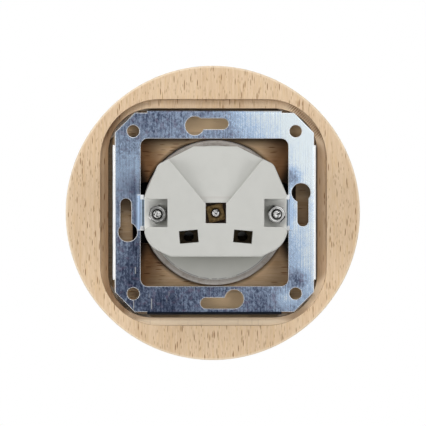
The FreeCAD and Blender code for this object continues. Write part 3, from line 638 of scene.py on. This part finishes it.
def floor_shade_and_marks(wood, tone):
    """The pocket's floor has painted shade towards its left and right, and more at its upper right. It has
    painted shade behind the side keyholes and in the top of the upper corner holes, and painted light behind
    the other two keyholes. It is painted black as shadow beside the tongues and the cup, below the plate's
    upper bar, in the lug notches and in the gaps round the plate. Beyond the plate's corners it has painted
    light, but for painted shade in the lower left one and for the cutter's marks."""
    x, y, z = wood.axes()
    side = wood.absolute(x)
    height = wood.absolute(z)
    diagonal = wood.maths("ADD", side, height)
    from_middle = wood.distance_from(*surround_middle)
    floor = wood.product(wood.between(y, *pocket_depth), wood.between(from_middle, *pocket_radius))
    inside = wood.product(wood.between(side, *opening_side), wood.between(height, *opening_height), floor)
    sideways = wood.total((side, 1.0), (height, painted_shade_lean))

    # Painted shade towards the floor's left and right, less at its lower right
    lower_right = wood.product(wood.between(x, *painted_shade_lower_right), wood.between(z, *painted_shade_lower_right))
    side_shade = wood.product(
        wood.between(sideways, *painted_shade_side), inside, wood.between(lower_right, *painted_shade_lower_right_share)
    )
    # Painted shade behind the side keyholes
    left_slot = wood.product(
        wood.band(x, *slot_left_x), wood.between(height, *slot_height), floor, wood.between(z, *slot_left_z)
    )
    right_slot = wood.product(
        wood.band(x, *slot_right_x), wood.between(height, *slot_height), floor, wood.between(z, *slot_right_z)
    )
    tone = wood.tinted(floor, tone, beech_floor)
    tone = wood.tinted(side_shade, tone, beech_painted_shade)
    tone = wood.tinted(wood.largest(left_slot, right_slot), tone, beech_dim)
    # Painted shade in the top of the upper corner holes
    hole_top = wood.product(wood.between(z, *hole_top_z), wood.between(side, *hole_side), floor)
    tone = wood.tinted(hole_top, tone, beech_dim)
    # More painted shade at the upper right
    upper_right = wood.product(
        wood.between(x, *painted_shade_upper_right_x), wood.between(z, *painted_shade_upper_right_z), inside,
        painted_shade_upper_right_share,
    )
    tone = wood.tinted(upper_right, tone, beech_painted_shade)
    # Painted light behind the upper and lower keyholes
    keyholes = wood.product(
        wood.between(height, *keyhole_height), wood.between(side, *keyhole_side), floor, keyhole_share
    )
    tone = wood.mixed(keyholes, tone, beech_lit)

    # Painted black as shadow beside the tongues and the cup, below the upper bar, in the lug notches and in
    # the gaps round the plate
    beside_tongue = wood.product(wood.between(sideways, *beside_tongue_side), inside)
    below_bar = wood.product(wood.between(z, *below_bar_z), inside)
    by_cup = wood.product(wood.between(wood.distance_from(*turned_axes[0]), *by_cup_radius), floor)
    notch = wood.product(
        wood.between(y, *notch_depth), wood.between(height, *notch_height), wood.band(side, *notch_side)
    )
    end_gap = wood.product(wood.between(side, *end_gap_side), wood.between(z, *end_gap_z))
    end_gap = wood.product(wood.between(height, *past_plate), end_gap, floor)
    side_gap = wood.product(
        wood.between(side, *past_plate), wood.between(height, *side_gap_height), floor, side_gap_share
    )
    black = wood.largest(by_cup, beside_tongue, below_bar, notch, end_gap, side_gap)
    tone = wood.mixed(black, tone, beech_black)

    # Painted light beyond the plate's corners
    past_end = wood.product(wood.between(diagonal, *corner_diagonal), wood.between(height, *past_plate))
    corner = wood.product(wood.largest(past_end, wood.between(diagonal, *outer_corner_diagonal)), floor)
    tone = wood.mixed(corner, tone, beech_corner)
    # Painted shade in the lower left corner, and the cutter's marks
    dark_corner = wood.product(
        wood.between(x, *dark_corner_x), wood.between(z, *dark_corner_z), dark_corner_share
    )
    marks = wood.largest(wood.product(cutter_marks(wood), pocket_mark_share), dark_corner)
    return wood.mixed(wood.product(corner, marks), tone, beech_black)


def zinc_plated(name):
    """Blue-passivated sheet: cloudy from dark blue to nearly white, with painted reflection that grows paler
    towards the right, fine rolling lines, small scratches, painted highlights on its sheared edges, side
    folds, bends and tongue shoulders, and painted shade on its upper and lower folds, fold faces and the gap
    by the tongues."""
    zinc = Recipe(name)
    x, y, z = zinc.axes()
    side = zinc.absolute(x)
    height = zinc.absolute(z)

    clouds = zinc.noise(cloud_grain, detail=3.0, roughness=0.6)
    # Painted reflection: the sheet grows paler towards the right and a little towards the top, with patches
    # of painted reflection and shade over the plating's own uneven tone, and a painted highlight along the
    # left bar
    towards_right = zinc.between(zinc.total((x, -1.0), (z, pale_side_lean)), *pale_side)
    patches = [(zinc.patch(*place), gain) for *place, gain in zinc_patches]
    bright_line = zinc.product(zinc.band(x, *bright_line_x), zinc.band(z, *bright_line_z))
    pale = zinc.total(
        (towards_right, 1.0), (z, zinc_rise), *patches, (bright_line, bright_line_gain),
        (clouds, cloud_gain), (zinc_ground, 1.0),
    )
    brushed = zinc.product(zinc.between(x, *brushed_x), zinc.band(z, *brushed_z))
    mottles = zinc.noise(mottle_grain, detail=3.0, roughness=0.65, distortion=0.8)
    mottles = zinc.product(
        zinc.maths("SUBTRACT", mottles, noise_middle), zinc.between(pale, *mottle_calm),
        zinc.between(brushed, *brushed_calm),
    )
    lines = zinc.noise(line_grain, detail=3.0, roughness=0.6)
    lines = zinc.product(zinc.maths("SUBTRACT", lines, noise_middle), zinc.between(pale, *line_calm))
    rolled = zinc.product(
        zinc.waves(x, rolling_mark_spacing), zinc.between(x, *rolling_mark_x),
        zinc.between(clouds, *rolling_mark_clouds),
    )
    tone = zinc.total((pale, 1.0), (mottles, mottle_gain), (lines, line_gain), (rolled, rolling_mark_gain))
    colour = zinc.ramp(tone, zinc_tones)
    purple = zinc.noise(purple_grain, detail=2.0)
    purple = zinc.product(zinc.between(purple, *purple_contrast), zinc.between(pale, *purple_tone))
    colour = zinc.mixed(purple, colour, zinc_purple)

    # Painted highlight on the tongue's bend
    on_tongue = zinc.between(height, tongue_half_width + tongue_edge, tongue_half_width)
    on_tip = zinc.between(height, tongue_tip_half_width + tongue_tip_edge, tongue_tip_half_width)
    bend = zinc.product(zinc.between(side, *bend_side), on_tongue)
    colour = zinc.mixed(bend, colour, zinc_bend_highlight)
    # Painted shadow in the gap beside the tongue's tip
    gap = zinc.product(zinc.band(side, *tongue_gap_side), on_tip, zinc.between(y, *tongue_gap_depth))
    colour = zinc.mixed(gap, colour, zinc_gap_shadow)
    # Painted highlight on the tongue's shoulders
    shoulder = zinc.product(
        zinc.between(y, *shoulder_depth), zinc.between(height, *shoulder_height), shoulder_share
    )

    scratch, _ = zinc.cells(scratch_cells)
    scratch = zinc.between(scratch, *scratch_outline)
    for across, up, half_length in zinc_scratches:
        off_line = zinc.absolute(zinc.maths("SUBTRACT", x, across))
        off_middle = zinc.absolute(zinc.maths("SUBTRACT", z, up))
        line = zinc.product(
            zinc.between(off_line, *scratch_width),
            zinc.between(off_middle, half_length, half_length - scratch_end), scratch_share,
        )
        scratch = zinc.largest(scratch, line)
    # Painted highlights along the sheared edges and side folds, in the same pale colour as the scratches
    edge_highlight, rounded = zinc.worn_edge(edge_highlight_width)
    edge_highlight = zinc.product(edge_highlight, zinc.rest_of(gap))
    side_fold = zinc.largest(zinc.between(x, *left_fold_x), zinc.between(x, *right_fold_x))
    end_fold = zinc.largest(zinc.between(z, *upper_fold_z), zinc.between(z, *lower_fold_z))
    colour = zinc.mixed(zinc.largest(edge_highlight, side_fold, shoulder, scratch), colour, zinc_highlight_and_scratch)
    # Painted dark reflection on the upper and lower folds, and painted shade on the folds' outer faces
    colour = zinc.mixed(end_fold, colour, zinc_darkest)
    colour = zinc.mixed(zinc.between(side, *fold_outside), colour, zinc_fold_shade)

    # The painted highlights are not metallic
    dullness = zinc.largest(
        edge_highlight, shoulder, zinc.product(side_fold, fold_dullness), zinc.product(bend, bend_dullness)
    )
    dullness = zinc.product(dullness, zinc.rest_of(end_fold))
    metallic = zinc.between(dullness, *metal_dullness)
    normal = zinc.relief(zinc.total((mottles, 1.0), (lines, line_relief)), zinc_relief, rounded)
    roughness = zinc.between(tone, *zinc_roughness)
    return zinc.finish(Base_Color=colour, Metallic=metallic, Roughness=roughness, Normal=normal)


def steatite(name):
    """Unglazed pressed ceramic: matte, faintly cloudy and pitted, a little paler along its edges, with a
    broken dark line of glue along the lower edge of its disc. It has painted shade in its hollows and on its
    disc below the block, and painted light on the floors of the side nut pockets."""
    body = Recipe(name)
    x, y, z = body.axes()
    side = body.absolute(x)
    height = body.absolute(z)
    clouds = body.noise(steatite_cloud_grain, detail=3.0)
    grit = body.noise(steatite_grit_grain, detail=2.0)
    tone = body.mixed(body.between(clouds, *steatite_cloud_contrast), steatite_body, steatite_speck)
    tone = body.mixed(body.between(grit, *steatite_grit_contrast), tone, steatite_speck)
    edge, rounded = body.worn_edge(steatite_rounding)
    tone = body.mixed(body.product(edge, steatite_edge_share), tone, steatite_edge)
    # Painted shade in narrow hollows
    tone = body.tinted(body.hollows(steatite_hollow), tone, steatite_shade)
    # Painted shade on the disc below the block
    below_block = body.product(
        body.between(z, *disc_face_z), body.between(z, *disc_face_shade), body.between(y, *disc_face_depth)
    )
    tone = body.tinted(below_block, tone, steatite_low)
    # Painted light on the floors of the side nut pockets
    nut_floor = body.product(
        body.band(y, *nut_floor_depth), body.between(height, *nut_floor_height),
        body.between(side, *nut_floor_light), body.between(side, *nut_floor_inner),
    )
    tone = body.mixed(nut_floor, tone, steatite_lit)
    by_cover_nut = body.product(
        body.between(side, *cover_nut_pocket), body.between(height, *cover_nut_pocket),
        body.between(y, *cover_nut_depth),
    )
    tone = body.tinted(by_cover_nut, tone, steatite_brown)
    smears = body.noise(smear_grain, detail=3.0, roughness=0.6)
    glue = body.product(
        body.band(body.distance_from(*turned_axes[0]), *glue_radius), body.between(z, *disc_face_z),
        body.between(smears, *glue_breaks),
    )
    tone = body.mixed(glue, tone, glue_grey)
    normal = body.relief(body.maths("ADD", grit, clouds), steatite_relief, rounded)
    return body.finish(Base_Color=tone, Roughness=0.50, Specular_IOR_Level=0.35, Normal=normal)


def glazed_porcelain(name):
    """White porcelain under a clear glaze that lies in a faint wave. The cup's back is smeared and painted
    greyer as shade, more along its outer edge and in its hollows, and the flange seen through the lug notches
    is painted black as shadow."""
    body = Recipe(name)
    x, y, z = body.axes()
    radius = body.distance_from(*turned_axes[0])
    specks = body.noise(porcelain_speck_grain, detail=1.0)
    tone = body.mixed(body.between(specks, *porcelain_speck_contrast), porcelain_white, steatite_speck)
    # Painted shade on the cup's back
    cup_back = body.between(y, *cup_back_depth)
    tone = body.tinted(cup_back, tone, porcelain_back_shade)
    smears = body.noise(porcelain_smear_grain, detail=3.0, roughness=0.6)
    smears = body.product(cup_back, body.between(smears, *porcelain_smear_contrast))
    tone = body.tinted(smears, tone, porcelain_smear)
    on_cup = body.between(y, *cup_depth)
    # Painted shade along the outer edge of the cup's back, less at its bottom, and in its hollows
    cup_edge = body.product(body.between(radius, *cup_edge_radius), on_cup, body.between(z, *cup_edge_z))
    tone = body.tinted(cup_edge, tone, porcelain_edge_shade)
    tone = body.tinted(body.product(body.hollows(cup_hollow), on_cup), tone, porcelain_shade)
    # The flange seen through the lug notches is painted black as shadow
    flange = body.product(
        body.band(y, *flange_depth), body.between(radius, *flange_radius),
        body.between(body.absolute(x), *flange_side), body.between(body.absolute(z), *flange_height),
    )
    tone = body.mixed(flange, tone, beech_black)
    _, rounded = body.worn_edge(porcelain_rounding)
    normal = body.relief(body.noise(porcelain_wave_grain, detail=1.0), porcelain_relief, rounded)
    roughness = body.between(flange, *glaze_roughness)
    return body.finish(Base_Color=tone, Roughness=roughness, Normal=normal)


def round_screws(metal):
    """How far the point is from the nearest axis of a screw that stands along Y, and 1 on its nut's side."""
    radius = metal.distance_from(*turned_axes[0])
    for axis in turned_axes[1:]:
        radius = metal.maths("MINIMUM", radius, metal.distance_from(*axis))
    _, y, _ = metal.axes()
    return radius, metal.between(y, *nut_side_depth)


def nickel_steel(name):
    """Plated screws and nuts, darker towards the left. Each nut is faced in rings, with painted shade in a
    ring where its thread begins and on its corners; the left nut has a painted glint and the right one
    painted shadows at its upper left and lower right, and the screw's cut end is rough. The front's screw
    head is clean, with painted shade in its slot."""
    metal = Recipe(name)
    x, _, _ = metal.axes()
    scuffs = metal.noise(nickel_scuff_grain, detail=2.0)
    chips = metal.noise(chip_grain, detail=1.0, distortion=1.2)
    radius, nut_side = round_screws(metal)
    rings = metal.waves(radius, facing_ring_spacing)
    cleaned = metal.total((scuffs, 1.0), (rings, facing_ring_gain), (x, nickel_lean))
    tone = metal.mixed(metal.between(cleaned, *nickel_contrast), nickel_dull, nickel_clean)

    screw_end = metal.product(metal.between(radius, *screw_end_radius), nut_side)
    tone = metal.mixed(screw_end, tone, nickel_bright)
    # Painted shade in a ring where the nut's thread begins and on its corners
    thread = metal.band(radius, *thread_radius)
    corners = metal.product(
        metal.between(radius, *nut_corner_radius), metal.between(scuffs, *nut_corner_scuffs)
    )
    cut_end = metal.product(screw_end, metal.between(chips, *chip_outline), chip_share)
    dark = metal.largest(metal.product(metal.largest(thread, corners), nut_side), cut_end)
    tone = metal.mixed(dark, tone, nickel_shade)
    # A painted glint on the left nut, and painted shadows by the right one
    tone = metal.mixed(metal.product(metal.patch(*nut_glint), nut_side), tone, nickel_bright)
    shadows = metal.largest(*(metal.patch(*place) for place in nut_shadows))
    shadows = metal.product(shadows, metal.between(radius, *nut_shadow_radius), nut_side)
    tone = metal.mixed(metal.between(shadows, *nut_shadow_outline), tone, nickel_shade)

    tone = metal.mixed(metal.between(nut_side, *head_clean), tone, nickel_clean)
    # Painted shade in the front head's slot
    driver_slot = metal.product(
        metal.hollows(driver_slot_hollow, driver_slot_closed, driver_slot_clear),
        metal.between(nut_side, *driver_slot_dark),
    )
    tone = metal.mixed(driver_slot, tone, nickel_shade)
    _, rounded = metal.worn_edge(nickel_rounding)
    normal = metal.relief(metal.total((rings, 1.0), (scuffs, scuff_relief)), nickel_relief, rounded)
    roughness = metal.between(scuffs, *nickel_roughness)
    return metal.finish(Base_Color=tone, Metallic=1.0, Roughness=roughness, Normal=normal)


def brass(name):
    """Plain brass: painted shade in its hollows and round its thread on the nut's side, paler on its front
    side, and a painted highlight along its edges.
    """
    metal = Recipe(name)
    scuffs = metal.noise(brass_scuff_grain, detail=3.0)
    tone = metal.mixed(metal.between(scuffs, *brass_contrast), brass_dull, brass_clean)
    radius, nut_side = round_screws(metal)
    # Painted shade round the thread and in hollows on the nut's side
    thread = metal.product(metal.between(radius, *brass_thread_radius), nut_side)
    hollow_shade = metal.product(metal.hollows(brass_hollow), nut_side)
    tone = metal.tinted(metal.largest(hollow_shade, thread), tone, brass_shade)
    tone = metal.mixed(metal.between(nut_side, *brass_front), tone, brass_pale_and_highlight)
    # A painted highlight along the edges
    edge, rounded = metal.worn_edge(brass_rounding)
    tone = metal.mixed(metal.product(edge, brass_edge_share), tone, brass_pale_and_highlight)
    normal = metal.relief(scuffs, brass_relief, rounded)
    return metal.finish(Base_Color=tone, Metallic=1.0, Roughness=0.30, Normal=normal)


def tarnish_and_shade(name):
    """Old brass and steel behind the wire windows, tarnished brown, without any shine, and painted nearly
    black as the shade inside the windows.
    """
    metal = Recipe(name)
    scuffs = metal.noise(tarnish_grain, detail=2.0)
    tone = metal.mixed(metal.between(scuffs, *tarnish_contrast), brass_tarnish_and_shade, brass_dull)
    normal = metal.relief(scuffs, tarnish_relief)
    return metal.finish(Base_Color=tone, Roughness=0.85, Specular_IOR_Level=0.1, Normal=normal)


def facing(direction):
    """The turn that points a light or camera this way."""
    return direction.to_track_quat("-Z", "Y").to_euler()


def area_light(name, place, diameter, power):
    """A round soft light that faces the origin. Neither the camera nor polished surfaces see it."""
    data = bpy.data.lights.new(name, "AREA")
    data.shape = "DISK"
    data.size = diameter
    data.energy = power
    light = bpy.data.objects.new(name, data)
    light.location = place
    light.rotation_euler = facing(-place)
    light.visible_glossy = False
    light.visible_camera = False
    bpy.context.scene.collection.objects.link(light)


def flat_sheet(name, corners, material):
    """A four-cornered sheet that belongs to the studio and not to the object."""
    mesh = bpy.data.meshes.new(name)
    mesh.from_pydata(corners, [], [(0, 1, 2, 3)])
    mesh.materials.append(material)
    sheet = bpy.data.objects.new(name, mesh)
    bpy.context.scene.collection.objects.link(sheet)
    return sheet


def plain_glow(name, grey):
    material = bpy.data.materials.new(name)
    material.use_nodes = True
    nodes = material.node_tree.nodes
    nodes.remove(nodes["Principled BSDF"])
    glow = nodes.new("ShaderNodeEmission")
    glow.inputs["Color"].default_value = (grey, grey, grey, 1.0)
    material.node_tree.links.new(glow.outputs[0], nodes["Material Output"].inputs["Surface"])
    return material


def reflected_card(name, corners, grey):
    """A card that only polished surfaces see, as a studio has them round a metal part."""
    card = flat_sheet(name, corners, plain_glow(name, grey))
    card.visible_camera = False
    card.visible_diffuse = False
    card.visible_shadow = False
    card.visible_transmission = False


def reflected_room():
    """Grey behind the camera with a bright card on its right, pale above and dark below."""
    far = card_distance
    near = card_front_edge
    behind = ((-far, far, -far), (far, far, -far), (far, far, far), (-far, far, far))
    reflected_card("card_behind", behind, card_grey_behind)
    reflected_card("card_pale", card_pale_corners, card_grey_pale)
    for name, height, grey in (("card_above", far, card_grey_above), ("card_below", -far, card_grey_below)):
        level = ((-far, near, height), (far, near, height), (far, far, height), (-far, far, height))
        reflected_card(name, level, grey)


def background():
    """White where the camera, gloss or glass looks past the object, and a little light from everywhere."""
    world = bpy.data.worlds.new("studio")
    world.use_nodes = True
    bpy.context.scene.world = world
    tree = world.node_tree
    shader = tree.nodes["Background"]
    shader.inputs["Color"].default_value = white
    path = tree.nodes.new("ShaderNodeLightPath")
    seen = path.outputs["Is Camera Ray"]
    for ray in ("Is Glossy Ray", "Is Transmission Ray"):
        either = tree.nodes.new("ShaderNodeMath")
        either.operation = "MAXIMUM"
        tree.links.new(seen, either.inputs[0])
        tree.links.new(path.outputs[ray], either.inputs[1])
        seen = either.outputs[0]
    strength = tree.nodes.new("ShaderNodeMapRange")
    tree.links.new(seen, strength.inputs["Value"])
    strength.inputs["To Min"].default_value = ambient_strength
    strength.inputs["To Max"].default_value = 1.0
    tree.links.new(strength.outputs[0], shader.inputs["Strength"])


def studio_floor():
    """A pale floor well below the object."""
    material = bpy.data.materials.new("floor")
    material.use_nodes = True
    tree = material.node_tree
    shader = tree.nodes["Principled BSDF"]
    shader.inputs["Base Color"].default_value = studio_floor_colour
    shader.inputs["Roughness"].default_value = studio_floor_roughness
    shader.inputs["Emission Color"].default_value = white
    path = tree.nodes.new("ShaderNodeLightPath")
    lift = tree.nodes.new("ShaderNodeMath")
    lift.operation = "MULTIPLY"
    lift.inputs[1].default_value = studio_floor_lift
    tree.links.new(path.outputs["Is Camera Ray"], lift.inputs[0])
    tree.links.new(lift.outputs[0], shader.inputs["Emission Strength"])
    half = studio_floor_half
    height = studio_floor_height
    corners = ((-half, -half, height), (half, -half, height), (half, half, height), (-half, half, height))
    flat_sheet("floor", corners, material).visible_glossy = False


def camera():
    data = bpy.data.cameras.new("camera")
    data.sensor_width = camera_sensor
    data.lens = camera_lens
    data.clip_start = camera_clip
    view = bpy.data.objects.new("camera", data)
    view.location = camera_place
    view.rotation_euler = facing(camera_target - camera_place)
    bpy.context.scene.collection.objects.link(view)
    bpy.context.scene.camera = view


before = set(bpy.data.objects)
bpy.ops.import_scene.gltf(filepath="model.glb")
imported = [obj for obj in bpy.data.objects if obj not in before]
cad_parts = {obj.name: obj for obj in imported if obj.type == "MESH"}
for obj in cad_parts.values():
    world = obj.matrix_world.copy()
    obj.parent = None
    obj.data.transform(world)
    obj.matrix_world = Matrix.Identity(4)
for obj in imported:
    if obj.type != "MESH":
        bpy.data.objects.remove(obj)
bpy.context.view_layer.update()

finishes = {
    "beech_back": beech("beech_back", "Z", ledge_shade_and_marks),
    "beech_front": beech("beech_front", "X", floor_shade_and_marks),
    "zinc_plated_steel": zinc_plated("zinc_plated_steel"),
    "steatite": steatite("steatite"),
    "glazed_porcelain": glazed_porcelain("glazed_porcelain"),
    "nickel_steel": nickel_steel("nickel_steel"),
    "brass": brass("brass"),
}
# The contacts and terminal screws behind the wire windows are tarnished and painted nearly black as shade
old_metal_in_shade = tarnish_and_shade("tarnish_and_shade_metal")
aged_in_shade = ("line_contact", "neutral_contact", "line_terminal_screw", "neutral_terminal_screw")
for name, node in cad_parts.items():
    for slot in node.material_slots:
        slot.material = old_metal_in_shade if name in aged_in_shade else finishes[slot.material.name.split(".")[0]]

background()
for name, (place, diameter, power) in soft_boxes.items():
    area_light(name, place, diameter, power)
reflected_room()
studio_floor()
camera()
bpy.context.scene.view_settings.view_transform = "Standard"
